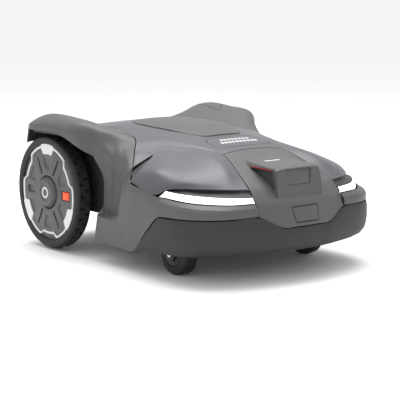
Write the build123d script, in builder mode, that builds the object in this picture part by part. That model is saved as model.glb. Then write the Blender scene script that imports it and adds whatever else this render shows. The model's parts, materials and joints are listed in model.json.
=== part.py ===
"""Robotic lawn mower: a sealed chassis on two driven rear wheels and two front casters, a blade disc whose
height a lead screw sets, and a floating body shell with a hinged control lid and a stop button.

Frame: +Z up, the mower faces -Y, origin on the ground below the middle of its bounding box. Millimetres.
"""
from build123d import *
import os
from math import cos, radians, sin

# ---- driving dimensions -------------------------------------------------------------------------
WHEEL_R = 135.0  # rear wheel over its studs
AXLE_Y = 244.0
WHEEL_OUT_X = 264.0  # outer face of the rear tyre
TYRE_W = 44.0
RIM_R = 112.0  # seat of the rear tyre
SHAFT_R = 8.0
CASTER_X = 183.0
CASTER_AXIS_Y = -180.0
CASTER_TRAIL = 15.0  # wheel axle behind the swivel axis
CASTER_R = 48.0
CASTER_W = 40.0
STEM_R = 10.0
SKIN = 3.0  # moulded wall of the body
SEAM = 1.4  # joint line between two body panels
ARCH_X = 205.0  # outer face of the wall inside each rear wheel
FENDER_X = 275.0  # outer face of each fender
FENDER_LOW_Z = 281.0  # lower edge of the fender's lip
CUTTER_Y = 30.0  # blade disc centre
DISC_R = 92.0
DISC_Z = 58.0  # underside of the blade disc at the highest cut
CUT_TRAVEL = 40.0
BLADE_PIVOT_R = 80.0
TUB_FLOOR = 114.0
TUB_REAR_FLOOR = 98.0
TUB_TOP = 194.0
TUB_WALL = 4.0
RUNNING = 0.05  # radial clearance of a running fit
GAP = 0.4  # space between parts that move past each other
SCREW_HEAD = 3.0

SIDES = (-1, 1)  # the mower's right, then its left

# Crown of the body: at each station along Y, (x, z) points from the centre line outwards.
CROWN = [
    (-386, [(0, 92), (60, 91), (122, 89), (226, 86), (300, 80)]),
    (-371, [(0, 122), (60, 121), (122, 119), (226, 116), (300, 106)]),
    (-343, [(0, 172), (60, 171), (122, 169), (226, 164), (300, 140)]),
    (-319, [(0, 199), (57, 198), (115, 193), (226, 184), (300, 150)]),
    (-265, [(0, 228), (57, 227), (102, 222), (226, 200), (300, 140)]),
    (-193, [(0, 259), (80, 257), (150, 252), (224, 228), (300, 120)]),
    (-120, [(0, 274), (95, 272), (170, 266), (216, 256), (300, 110)]),
    (-30, [(0, 291), (120, 289), (180, 286), (206, 281), (300, 120)]),
    (65, [(0, 305), (130, 302), (180, 299), (212, 294), (300, 200)]),
    (110, [(0, 307), (130, 303), (180, 300), (230, 301), (300, 270)]),
    (215, [(0, 296), (130, 295), (180, 301), (236, 319), (300, 280)]),
    (300, [(0, 281), (130, 283), (180, 294), (236, 312), (300, 272)]),
    (352, [(0, 262), (130, 266), (180, 278), (236, 292), (300, 262)]),
    (392, [(0, 190), (130, 194), (180, 200), (236, 204), (300, 190)]),
]
# Half plan of the body without its fenders, nose first, and the outer edge of the left fender.
PLAN = [
    (0, -381), (64, -377), (124, -363), (186, -342), (226, -317), (248, -289), (260, -240), (265, -198),
    (264, -60), (255, 65), (ARCH_X, 80), (ARCH_X, 332), (188, 362), (140, 377), (0, 381),
]
FENDER_EDGE = [(212, 82), (240, 100), (264, 128), (FENDER_X, 160), (FENDER_X, 296), (262, 316)]
RECESS_X = 225.0  # flank above the sill, behind the front panel
RECESS_Y = -76.0
SILL_TOP = 107.0
BUMPER_TOP = 143.0
BUMPER_NOSE_TOP = 118.0


def side_name(side):
    """The mower's own side, facing the way it drives."""
    return "right" if side < 0 else "left"


def write(builder, name):
    """Label a finished piece and write it as its own file."""
    builder.part.label = name
    export_step(builder.part, f"parts/{name}.step")


def mirrored(half):
    """Closed outline from half an outline that starts and ends on the centre line."""
    return half + [(-x, y) for x, y in reversed(half) if x > 0]


def flipped(points, side):
    """An outline drawn for the left side, on the side that is asked for."""
    return [(side * x, y) for x, y in points]


def prism(points, low, high, inset=0.0):
    """Upright block over a plan outline between two heights."""
    with BuildPart() as block:
        with BuildSketch(Plane.XY.offset(low)):
            with BuildLine():
                Polyline(*points, close=True)
            make_face()
            if inset:
                offset(amount=-inset, kind=Kind.INTERSECTION)
        extrude(amount=high - low)
    return block.part


def profile_block(points, x_low, x_high):
    """Block over an outline in the YZ plane between two X values."""
    with BuildPart() as block:
        with BuildSketch(Plane.YZ.offset(x_low)):
            with BuildLine():
                Polyline(*points, close=True)
            make_face()
        extrude(amount=x_high - x_low)
    return block.part


def crown_height(x, y):
    """Height of the crown over a plan point."""
    heights = []
    for station, points in CROWN:
        for (x0, z0), (x1, z1) in zip(points, points[1:]):
            if x0 <= abs(x) <= x1:
                heights.append((station, z0 + (z1 - z0) * (abs(x) - x0) / (x1 - x0)))
                break
    for (y0, z0), (y1, z1) in zip(heights, heights[1:]):
        if y0 <= y <= y1:
            return z0 + (z1 - z0) * (y - y0) / (y1 - y0)
    return heights[-1][1]


def crown_block(drop, floor=0.0):
    """Everything under the crown, lowered by a drop."""
    with BuildPart() as block:
        for station, points in CROWN:
            with BuildSketch(Plane.XZ.offset(-station)):
                outline = [(x, z - drop) for x, z in points] + [(300, floor)]
                with BuildLine():
                    Polyline(*mirrored(outline), close=True)
                make_face()
        loft(ruled=True)
    return block.part


def body_form(inset):
    """Outside of the body, or its inside at an inset."""
    crown = crown_block(inset)
    low = -10.0 if inset else 44.0
    recess = [
        (RECESS_Y - inset, 330), (RECESS_Y - inset, 223), (-19 - inset, SILL_TOP - inset),
        (90, SILL_TOP - inset), (90, 330),
    ]
    with BuildPart() as form:
        add(prism(mirrored(PLAN), low, 330, inset))
        for side in SIDES:
            outer, inner = side * 300.0, side * (RECESS_X - inset)
            add(profile_block(recess, min(outer, inner), max(outer, inner)), mode=Mode.SUBTRACT)
            lip = -10.0 if inset else FENDER_LOW_Z
            root_x = ARCH_X - inset if inset else 180
            fender = [(root_x, 76)] + FENDER_EDGE + [(root_x, 334)]
            add(prism(flipped(fender, side), lip, 330, inset))
        add(crown, mode=Mode.INTERSECT)
    return form.part


def underside_cut():
    """Space below the rising lower edge of the body."""
    edge = [(-400, 71), (-352, 68), (-193, 59), (-93, 46), (65, 44), (66, 96), (400, 96)]
    return profile_block(edge + [(400, -20), (-400, -20)], -320, 320)


def cylinder(radius, start, length, direction):
    """Solid cylinder from a start point along a direction."""
    with BuildPart() as rod:
        with BuildSketch(Plane(origin=start, z_dir=direction)):
            Circle(radius)
        extrude(amount=length)
    return rod.part


def tube(outer, inner, start, length, direction):
    """Hollow cylinder from a start point along a direction."""
    with BuildPart() as pipe:
        with BuildSketch(Plane(origin=start, z_dir=direction)):
            Circle(outer)
            Circle(inner, mode=Mode.SUBTRACT)
        extrude(amount=length)
    return pipe.part


def block(x, y, z):
    """Box between two X, two Y and two Z values."""
    with BuildPart() as cuboid:
        with Locations(((x[0] + x[1]) / 2, (y[0] + y[1]) / 2, (z[0] + z[1]) / 2)):
            Box(x[1] - x[0], y[1] - y[0], z[1] - z[0])
    return cuboid.part


os.makedirs("parts", exist_ok=True)

# ---- body shell ---------------------------------------------------------------------------------
inner_form = body_form(SKIN)
with BuildPart() as skin:
    add(body_form(0))
    add(inner_form, mode=Mode.SUBTRACT)
    add(underside_cut(), mode=Mode.SUBTRACT)

NOSE = [(0, -400), (124, -400), (124, -346), (116, -319), (102, -262), (84, -196), (78, -190), (0, -186)]
HOOD = [
    (0, -360), (260, -360), (262, -185), (240, -80), (222, -66), (168, 140), (150, 190), (90, 262), (0, 272),
]
BADGE = [(0, -152), (78, -156), (86, -147), (62, -104), (50, -98), (0, -98)]
LID = [(0, -82), (48, -82), (62, -20), (86, 105), (84, 135), (66, 172), (0, 180)]
STOP = [(0, 204), (52, 204), (60, 212), (60, 240), (52, 248), (0, 248)]
LAMP_LOW = 172.0
LAMP_HIGH = 186.0
LAMP_BACK_Y = -196.0
WIDE = 320.0  # half width that clears the whole body
NOTCH = [(-126, 160), (-126, 145), (-63, BUMPER_NOSE_TOP), (63, BUMPER_NOSE_TOP), (126, 145), (126, 160)]


def bumper_region(grow):
    """Zone of the front bumper: below its top line and ahead of its slanted rear edge."""
    top = BUMPER_TOP + grow
    edge = [(-400, -20), (-400, top), (-200, top), (-93 + grow, 46), (-78 + grow, -20)]
    with BuildPart() as zone:
        add(profile_block(edge, -320, 320))
        with BuildSketch(Plane.XZ.offset(300)):
            with BuildLine():
                Polyline(*[(x, z + grow) for x, z in NOTCH], close=True)
            make_face()
        extrude(amount=100, mode=Mode.SUBTRACT)
    return zone.part


with BuildPart() as front_bumper:
    add(skin.part)
    add(bumper_region(0), mode=Mode.INTERSECT)
write(front_bumper, "front_bumper")

# The nose carries a raised sensor housing, whose top runs forward level with the hood.
HOUSING = [(-200, 262), (-339, 244), (-355, 176), (-340, 150), (-200, 150)]
HOUSING_INSIDE = [(y + SKIN * 1.3, z - SKIN) for y, z in HOUSING]
HOUSING_X = 58.0
RECESS_RISE = 14.0  # the upper recess sits above the middle of its face
FACE = Plane(origin=(0, -345.5, 210), x_dir=(1, 0, 0), z_dir=(0, -68, 16))
LOW_FACE = Plane(origin=(0, -358, 147), x_dir=(1, 0, 0), z_dir=(0, -50, 28))
with BuildPart() as nose_panel:
    add(skin.part)
    add(profile_block(HOUSING, -HOUSING_X, HOUSING_X))
    add(profile_block(HOUSING_INSIDE, SKIN - HOUSING_X, HOUSING_X - SKIN), mode=Mode.SUBTRACT)
    add(inner_form, mode=Mode.SUBTRACT)
    add(prism(mirrored(NOSE), 60, 330), mode=Mode.INTERSECT)
    add(bumper_region(SEAM), mode=Mode.SUBTRACT)
    with BuildSketch(FACE.offset(20)):
        with Locations((0, RECESS_RISE)):
            Trapezoid(75, 39, 84, rotation=180)
    extrude(amount=-60, mode=Mode.SUBTRACT)
    with BuildSketch(LOW_FACE.offset(20)):
        Trapezoid(73, 42, 80, rotation=180)
    extrude(amount=-60, mode=Mode.SUBTRACT)
with BuildPart() as nose_covers:
    with BuildSketch(FACE):
        with Locations((0, RECESS_RISE)):
            Trapezoid(73, 37, 84, rotation=180)
    with BuildSketch(LOW_FACE):
        Trapezoid(71, 40, 80, rotation=180)
    extrude(amount=-2.5)
write(nose_panel, "nose_panel")
write(nose_covers, "nose_covers")

# ---- headlights ---------------------------------------------------------------------------------
LAMP_SIDE = [
    (-400, LAMP_LOW), (-300, LAMP_LOW + 2), (LAMP_BACK_Y, LAMP_LOW + 8), (LAMP_BACK_Y + 12, LAMP_HIGH + 6),
    (-300, LAMP_HIGH), (-400, LAMP_HIGH),
]
with BuildPart() as lamp_zone:
    add(profile_block(LAMP_SIDE, -WIDE, WIDE))
    add(prism(mirrored(NOSE), 60, 330, -SEAM), mode=Mode.SUBTRACT)
with BuildPart() as headlight_lenses:
    add(skin.part)
    add(lamp_zone.part, mode=Mode.INTERSECT)
write(headlight_lenses, "headlight_lenses")
with BuildPart() as front_circuit_boards:
    with BuildSketch(FACE.offset(-9)):
        with Locations((0, 12)):
            Rectangle(60, 34)
    extrude(amount=-1.6)
    with BuildSketch(FACE.offset(-9)):
        with Locations((0, 12)):
            with GridLocations(28, 1, 2, 1):
                Circle(6)
    extrude(amount=5)
    for side in SIDES:
        with BuildSketch(Plane.XY.offset(174)):
            with BuildLine():
                Polyline(*flipped([(150, -322), (206, -294), (205, -292), (149, -320)], side), close=True)
            make_face()
        extrude(amount=9)
write(front_circuit_boards, "front_circuit_boards")

# ---- top panels ---------------------------------------------------------------------------------
HOOD_LOW = [(-400, 187.4), (-300, 187.4), (-180, 194), (-60, 196), (400, 200)]  # its lower edge along Y
with BuildPart() as hood:
    add(skin.part)
    add(prism(mirrored(HOOD), LAMP_HIGH, 330), mode=Mode.INTERSECT)
    add(profile_block([(-400, 80)] + HOOD_LOW + [(400, 80)], -WIDE, WIDE), mode=Mode.SUBTRACT)
    add(prism(mirrored(NOSE), 60, 330, -SEAM), mode=Mode.SUBTRACT)
    add(prism(mirrored(BADGE), 200, 330), mode=Mode.SUBTRACT)
    add(prism(mirrored(LID), 200, 330, 9), mode=Mode.SUBTRACT)
    add(prism(mirrored(STOP), 200, 330, -SEAM), mode=Mode.SUBTRACT)
    add(lamp_zone.part, mode=Mode.SUBTRACT)
with BuildPart() as badge_plate:
    add(skin.part)
    add(prism(mirrored(BADGE), 200, 330, SEAM / 2), mode=Mode.INTERSECT)
write(badge_plate, "badge_plate")

# The lid rests just above the hood and turns about a pin along its front edge.
PIN_R = 1.2
KNUCKLE_R = 2.2
PIN_Y = -85.0
PIN_Z = crown_height(0, PIN_Y) + GAP + KNUCKLE_R
PIN_SPAN = 36.0
LID_RAISE = 0.5
with BuildPart() as raised:
    add(body_form(0).moved(Location((0, 0, LID_RAISE + SKIN))))
    add(body_form(0).moved(Location((0, 0, LID_RAISE))), mode=Mode.SUBTRACT)
with BuildPart() as control_lid:
    add(raised.part)
    add(prism(mirrored(LID), 200, 335), mode=Mode.INTERSECT)
    for low, high in ((-27, -6), (6, 27)):
        add(block((low, high), (PIN_Y, -80), (PIN_Z - 1.5, PIN_Z + 0.6)))
        add(cylinder(KNUCKLE_R, (low, PIN_Y, PIN_Z), high - low, (1, 0, 0)))
    add(cylinder(PIN_R + RUNNING, (-PIN_SPAN, PIN_Y, PIN_Z), 2 * PIN_SPAN, (1, 0, 0)), mode=Mode.SUBTRACT)
write(control_lid, "control_lid")
with BuildPart() as hood_with_hinge:
    add(hood.part)
    for low, high in ((-35, -27.5), (-5.5, 5.5), (27.5, 35)):
        add(block((low, high), (PIN_Y - 1.8, PIN_Y + 1.8), (PIN_Z - KNUCKLE_R - 2.4, PIN_Z)))
        add(cylinder(KNUCKLE_R, (low, PIN_Y, PIN_Z), high - low, (1, 0, 0)))
    add(cylinder(PIN_R, (-PIN_SPAN, PIN_Y, PIN_Z), 2 * PIN_SPAN, (1, 0, 0)), mode=Mode.SUBTRACT)
write(hood_with_hinge, "hood")
with BuildPart() as lid_hinge_pin:
    add(cylinder(PIN_R, (-PIN_SPAN, PIN_Y, PIN_Z), 2 * PIN_SPAN, (1, 0, 0)))
write(lid_hinge_pin, "lid_hinge_pin")

# ---- rear skirt and fenders ---------------------------------------------------------------------
FENDER_LID = [(196, 176), (226, 196), (241, 313), (222, 318), (206, 230)]
with BuildPart() as hood_zone:
    add(prism(mirrored(HOOD), LAMP_HIGH, 330, -SEAM))
    lowered = [(y, z - SEAM) for y, z in HOOD_LOW]
    add(profile_block([(-400, 80)] + lowered + [(400, 80)], -WIDE, WIDE), mode=Mode.SUBTRACT)
with BuildPart() as body_skirt:
    add(skin.part)
    add(bumper_region(SEAM), mode=Mode.SUBTRACT)
    add(prism(mirrored(NOSE), 60, 330, -SEAM), mode=Mode.SUBTRACT)
    add(hood_zone.part, mode=Mode.SUBTRACT)
    add(lamp_zone.part, mode=Mode.SUBTRACT)
    for side in SIDES:
        add(prism(flipped(FENDER_LID, side), 200, 330), mode=Mode.SUBTRACT)
        add(cylinder(26, (side * 190, AXLE_Y, WHEEL_R), side * 25, (1, 0, 0)), mode=Mode.SUBTRACT)
write(body_skirt, "body_skirt")
with BuildPart() as fender_lid_zones:
    for side in SIDES:
        add(prism(flipped(FENDER_LID, side), 200, 330, SEAM / 2))
with BuildPart() as fender_lids:
    add(skin.part)
    add(fender_lid_zones.part, mode=Mode.INTERSECT)
write(fender_lids, "fender_lids")

# ---- controls under the lid and the stop button -------------------------------------------------
KEYS_X = (-32, 0, 34)
KEYS_Y = 120
STOP_Y = 226
POSTS = [(-140, -140), (140, -140), (-140, 45), (140, 45)]  # where the shell stands on the chassis
with BuildPart() as shell_frame:
    add(block((-300, 300), (-165, 60), (238, 243)))
    add(prism(mirrored([(0, -120), (60, -120), (60, 40), (0, 40)]), 230, 250), mode=Mode.SUBTRACT)
    add(inner_form, mode=Mode.INTERSECT)
    for x, y in POSTS:
        add(cylinder(9, (x, y, 222), 16, (0, 0, 1)))
        add(cylinder(5 + RUNNING, (x, y, 215), 27, (0, 0, 1)), mode=Mode.SUBTRACT)
write(shell_frame, "shell_frame")
with BuildPart() as control_tray:
    add(block((-74, 74), (-118, 192), (243, 330)))
    add(block((-71, 71), (-115, 189), (246, 330)), mode=Mode.SUBTRACT)
    add(prism(mirrored([(0, -118), (60, -118), (60, -70), (0, -70)]), 240, 330), mode=Mode.SUBTRACT)
    add(block((-70, 70), (192, 256), (243, 247)))
    add(tube(26, 22, (0, STOP_Y, 247), 3, (0, 0, 1)))
    for x in KEYS_X:
        with Locations((x, KEYS_Y, 244.5)):
            Box(22.8, 16.8, 8, mode=Mode.SUBTRACT)
    add(inner_form, mode=Mode.INTERSECT)
write(control_tray, "control_tray")
with BuildPart() as display_module:
    add(block((-52, 52), (-20, 62), (246, 258)))
    fillet(display_module.edges().filter_by(Axis.Z), 6)
write(display_module, "display_module")
for name, x in zip(("start_button", "park_button"), KEYS_X):
    with BuildPart() as key:
        with Locations((x, KEYS_Y, 250)):
            Box(22, 16, 12)
        fillet(key.edges().filter_by(Axis.Z), 3)
    write(key, name)
with BuildPart() as power_switch:
    add(cylinder(9, (KEYS_X[2] - 10, KEYS_Y, 252.4), 20, (1, 0, 0)))
    add(block((0, 60), (KEYS_Y - 20, KEYS_Y + 20), (256.5, 270)), mode=Mode.SUBTRACT)
write(power_switch, "power_switch")
with BuildPart() as stop_button:
    add(prism(mirrored(STOP), 255, 330, SEAM))
    add(crown_block(2.0), mode=Mode.INTERSECT)
    add(block((-10, 10), (STOP_Y - 10, STOP_Y + 10), (252, 256)))
write(stop_button, "stop_button")
with BuildPart() as stop_spring:
    with BuildLine():
        coil = Helix(pitch=2.4, height=6.0, radius=16, center=(0, STOP_Y, 247.9))
    with BuildSketch(Plane(origin=coil @ 0, z_dir=coil % 0)):
        Circle(0.6)
    sweep()
write(stop_spring, "stop_spring")

# ---- floating joints between chassis and shell --------------------------------------------------
# Each post slides fore and aft in its base, sideways in its sleeve, and the shell lifts off its top.
LID_TOP = TUB_TOP + 4
with BuildPart() as joystick_bases:
    for x, y in POSTS:
        add(block((x - 14, x + 14), (y - 20, y + 20), (LID_TOP, LID_TOP + 9)))
        groove = block((x - 8 - RUNNING, x + 8 + RUNNING), (y - 21, y + 21), (LID_TOP + 2, LID_TOP + 10))
        add(groove, mode=Mode.SUBTRACT)
write(joystick_bases, "joystick_bases")
with BuildPart() as joystick_sleeves:
    for x, y in POSTS:
        add(block((x - 8, x + 8), (y - 12, y + 12), (LID_TOP + 2 + RUNNING, LID_TOP + 9 + GAP)))
        add(block((x - 20, x + 20), (y - 12, y + 12), (LID_TOP + 9 + GAP, LID_TOP + 18)))
        groove = block((x - 21, x + 21), (y - 6 - RUNNING, y + 6 + RUNNING), (LID_TOP + 12, LID_TOP + 19))
        add(groove, mode=Mode.SUBTRACT)
write(joystick_sleeves, "joystick_sleeves")
with BuildPart() as joystick_posts:
    for x, y in POSTS:
        add(block((x - 12, x + 12), (y - 6, y + 6), (LID_TOP + 12 + RUNNING, LID_TOP + 18 + GAP)))
        add(cylinder(5, (x, y, LID_TOP + 18 + GAP), 18, (0, 0, 1)))
write(joystick_posts, "joystick_posts")

# ---- chassis ------------------------------------------------------------------------------------
TUB = [
    (0, -300), (110, -292), (200, -250), (214, -215), (214, -140), (185, -100), (185, 300), (150, 344),
    (0, 350),
]
REAR_WELL = [(0, 186), (185, 186), (185, 300), (150, 344), (0, 350)]
CARRIAGE_HOLE_R = 44.0
GUIDE_X = -62.0  # guide rod of the cutting carriage, opposite its lead screw
GUIDE_R = 5.0
SCREW_X = 62.0
with BuildPart() as chassis_tub:
    add(prism(mirrored(TUB), TUB_FLOOR, TUB_TOP))
    add(prism(mirrored(REAR_WELL), TUB_REAR_FLOOR, TUB_FLOOR))
    add(prism(mirrored(TUB), TUB_FLOOR + TUB_WALL, TUB_TOP + 1, TUB_WALL), mode=Mode.SUBTRACT)
    add(prism(mirrored(REAR_WELL), TUB_REAR_FLOOR + TUB_WALL, TUB_TOP, TUB_WALL), mode=Mode.SUBTRACT)
    add(cylinder(CARRIAGE_HOLE_R, (0, CUTTER_Y, 90), 60, (0, 0, 1)), mode=Mode.SUBTRACT)
    for side in SIDES:
        add(cylinder(16, (side * CASTER_X, CASTER_AXIS_Y, TUB_FLOOR), 46, (0, 0, 1)))
        stem_bore = cylinder(STEM_R + RUNNING, (side * CASTER_X, CASTER_AXIS_Y, 100), 80, (0, 0, 1))
        add(stem_bore, mode=Mode.SUBTRACT)
        add(cylinder(14, (side * 150, AXLE_Y, WHEEL_R), side * 50, (1, 0, 0)), mode=Mode.SUBTRACT)
    add(cylinder(GUIDE_R, (GUIDE_X, CUTTER_Y, TUB_FLOOR), TUB_TOP - TUB_FLOOR, (0, 0, 1)))
    for x in (-30, 30):
        add(block((x - 12, x + 12), (-302, -294), (122, 140)), mode=Mode.SUBTRACT)
write(chassis_tub, "chassis_tub")
with BuildPart() as chassis_lid:
    add(prism(mirrored(TUB), TUB_TOP, LID_TOP))
write(chassis_lid, "chassis_lid")
with BuildPart() as chassis_screws:
    for x, y in ((90, -280), (195, -170), (172, -40), (172, 120), (172, 280), (80, 330)):
        for side in SIDES:
            add(cylinder(4.5, (side * x, y, LID_TOP), SCREW_HEAD, (0, 0, 1)))
write(chassis_screws, "chassis_screws")
with BuildPart() as charging_contacts:
    for x in (-30, 30):
        add(block((x - 12, x + 12), (-303, -296), (122, 140)))
write(charging_contacts, "charging_contacts")
with BuildPart() as battery_packs:
    for x in (-92, 92):
        add(block((x - 50, x + 50), (118, 180), (120, 186)))
    fillet(battery_packs.edges().filter_by(Axis.Z), 8)
write(battery_packs, "battery_packs")
with BuildPart() as battery_cover:
    add(prism(mirrored([(0, 112), (150, 112), (150, 182), (0, 182)]), TUB_FLOOR - 3, TUB_FLOOR))
write(battery_cover, "battery_cover")
BOARD_TOP = 133.6
CHIPS = [  # middle, width, depth and height of each large component
    (-50, -200, 30, 30, 4), (10, -210, 22, 22, 3), (60, -190, 40, 16, 12), (-20, -150, 60, 10, 9),
    (-70, -235, 18, 12, 14),
]
with BuildPart() as main_circuit_board:
    add(block((-95, 95), (-250, -130), (BOARD_TOP - 1.6, BOARD_TOP)))
    for x, y, width, depth, height in CHIPS:
        across = (x - width / 2, x + width / 2)
        along = (y - depth / 2, y + depth / 2)
        add(block(across, along, (BOARD_TOP, BOARD_TOP + height)))
    for x in (-88, 88):
        for y in (-243, -137):
            add(cylinder(4, (x, y, TUB_FLOOR + TUB_WALL), 14, (0, 0, 1)))
write(main_circuit_board, "main_circuit_board")
with BuildPart() as drive_motors:
    for side in SIDES:
        add(cylinder(32, (side * 100, AXLE_Y, WHEEL_R), side * 81, (1, 0, 0)))
        add(cylinder(22, (side * 84, AXLE_Y, WHEEL_R), side * 16, (1, 0, 0)))
        add(cylinder(14, (side * 181, AXLE_Y, WHEEL_R), side * 10, (1, 0, 0)))
        shaft_bore = cylinder(SHAFT_R + RUNNING, (side * 168, AXLE_Y, WHEEL_R), side * 30, (1, 0, 0))
        add(shaft_bore, mode=Mode.SUBTRACT)
write(drive_motors, "drive_motors")

# ---- cutting system, at its highest -------------------------------------------------------------
CARRIAGE_LOW = 84.0
ARM_LOW = TUB_FLOOR + TUB_WALL + CUT_TRAVEL + 2
CARRIAGE_TOP = ARM_LOW + 12
HUB_R = 16.0
with BuildPart() as cutting_carriage:
    add(cylinder(36, (0, CUTTER_Y, CARRIAGE_LOW), CARRIAGE_TOP - CARRIAGE_LOW, (0, 0, 1)))
    add(cylinder(52, (0, CUTTER_Y, CARRIAGE_LOW), 4, (0, 0, 1)))
    with BuildSketch(Plane.XY.offset(ARM_LOW)):
        with Locations((0, CUTTER_Y)):
            SlotCenterToCenter(2 * SCREW_X, 28)
    extrude(amount=CARRIAGE_TOP - ARM_LOW)
    add(cylinder(30, (0, CUTTER_Y, CARRIAGE_LOW + 4), 100, (0, 0, 1)), mode=Mode.SUBTRACT)
    add(cylinder(10, (0, CUTTER_Y, 80), 20, (0, 0, 1)), mode=Mode.SUBTRACT)
    for x in (SCREW_X, GUIDE_X):
        add(cylinder(GUIDE_R + RUNNING, (x, CUTTER_Y, ARM_LOW - 1), 20, (0, 0, 1)), mode=Mode.SUBTRACT)
write(cutting_carriage, "cutting_carriage")
with BuildPart() as cutting_motor:
    add(cylinder(30, (0, CUTTER_Y, CARRIAGE_LOW + 4), 48, (0, 0, 1)))
    add(cylinder(22, (0, CUTTER_Y, CARRIAGE_LOW + 52), 10, (0, 0, 1)))
    add(cylinder(5 + RUNNING, (0, CUTTER_Y, 80), 26, (0, 0, 1)), mode=Mode.SUBTRACT)
write(cutting_motor, "cutting_motor")
with BuildPart() as lead_screw:
    add(cylinder(GUIDE_R, (SCREW_X, CUTTER_Y, TUB_FLOOR + TUB_WALL + GAP), 70, (0, 0, 1)))
write(lead_screw, "lead_screw")
with BuildPart() as height_motor:
    add(cylinder(19, (SCREW_X, CUTTER_Y, CARRIAGE_TOP + 4), TUB_TOP - CARRIAGE_TOP - 4, (0, 0, 1)))
    add(cylinder(GUIDE_R + RUNNING, (SCREW_X, CUTTER_Y, CARRIAGE_TOP), 18, (0, 0, 1)), mode=Mode.SUBTRACT)
write(height_motor, "height_motor")
FOLD = (TUB_FLOOR - CARRIAGE_LOW - 4 - GAP) / 6
with BuildPart() as bellows:
    with BuildSketch(Plane(origin=(0, CUTTER_Y, 0), x_dir=(1, 0, 0), z_dir=(0, -1, 0))):
        with BuildLine():
            outside = [(51 - 5 * (i % 2), TUB_FLOOR - FOLD * i) for i in range(7)]
            Polyline(*(outside + [(x - 2.5, z) for x, z in reversed(outside)]), close=True)
        make_face()
    revolve(axis=Axis((0, CUTTER_Y, 0), (0, 0, 1)))
write(bellows, "bellows")
with BuildPart() as cutter_shaft:
    add(cylinder(5, (0, CUTTER_Y, 46), 58, (0, 0, 1)))
    add(cylinder(9, (0, CUTTER_Y, 43), 3.5, (0, 0, 1)))
write(cutter_shaft, "cutter_shaft")
with BuildPart() as blade_disc:
    add(cylinder(DISC_R, (0, CUTTER_Y, DISC_Z), 3, (0, 0, 1)))
    add(cylinder(60, (0, CUTTER_Y, DISC_Z + 3), 5, (0, 0, 1)))
    add(cylinder(HUB_R, (0, CUTTER_Y, DISC_Z + 8), 12, (0, 0, 1)))
    add(cylinder(5, (0, CUTTER_Y, 40), 60, (0, 0, 1)), mode=Mode.SUBTRACT)
write(blade_disc, "blade_disc")
with BuildPart() as skid_plate:
    add(cylinder(64, (0, CUTTER_Y, 48), 2.5, (0, 0, 1)))
    add(cylinder(12, (0, CUTTER_Y, 47), 9, (0, 0, 1)))
    add(cylinder(5 + RUNNING, (0, CUTTER_Y, 40), 30, (0, 0, 1)), mode=Mode.SUBTRACT)
    chamfer(skid_plate.edges().filter_by(GeomType.CIRCLE).group_by(SortBy.RADIUS)[-1].sort_by(Axis.Z)[0], 1.5)
write(skid_plate, "skid_plate")
BLADE_Z = DISC_Z - 2.6
BLADE_SCREW_R = 2.4
pivots = [
    (BLADE_PIVOT_R * sin(radians(turn)), CUTTER_Y + BLADE_PIVOT_R * cos(radians(turn)), turn)
    for turn in (0, 120, 240)
]
with BuildPart() as blade_screws:
    for x, y, turn in pivots:
        add(cylinder(BLADE_SCREW_R, (x, y, BLADE_Z - 1), DISC_Z - BLADE_Z + 1, (0, 0, 1)))
        add(cylinder(5, (x, y, BLADE_Z - 2.4), 1.6, (0, 0, 1)))
write(blade_screws, "blade_screws")
for number, (x, y, turn) in enumerate(pivots, 1):
    with BuildPart() as blade:
        with BuildSketch(Plane(origin=(x, y, BLADE_Z), x_dir=(sin(radians(turn)), cos(radians(turn)), 0))):
            with Locations((13, 0)):
                Rectangle(40, 18)
            Circle(BLADE_SCREW_R + RUNNING, mode=Mode.SUBTRACT)
            with Locations((17, 0)):
                SlotOverall(16, 5, mode=Mode.SUBTRACT)
        extrude(amount=1.0)
        chamfer(blade.edges().filter_by(Axis.Z), 2.5)
    write(blade, f"blade_{number}")

# ---- rear wheels --------------------------------------------------------------------------------
INNER_X = WHEEL_OUT_X - TYRE_W
FACE_X = 258.0  # outer face of the wheel disc
BOSS = 8.0  # the hub stands this far out of the disc
SHAFT_X = 169.0  # inner end of the drive shaft
TYRE_SECTION = [
    (INNER_X + 2, RIM_R), (INNER_X, 122), (INNER_X + 5, WHEEL_R - 4), (INNER_X + 12, WHEEL_R),
    (WHEEL_OUT_X - 12, WHEEL_R), (WHEEL_OUT_X - 5, WHEEL_R - 4), (WHEEL_OUT_X, 122), (WHEEL_OUT_X - 2, RIM_R),
]


def on_axle(side, x):
    """Point on the rear axle at a distance from the middle of the mower."""
    return (side * x, AXLE_Y, WHEEL_R)


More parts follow.
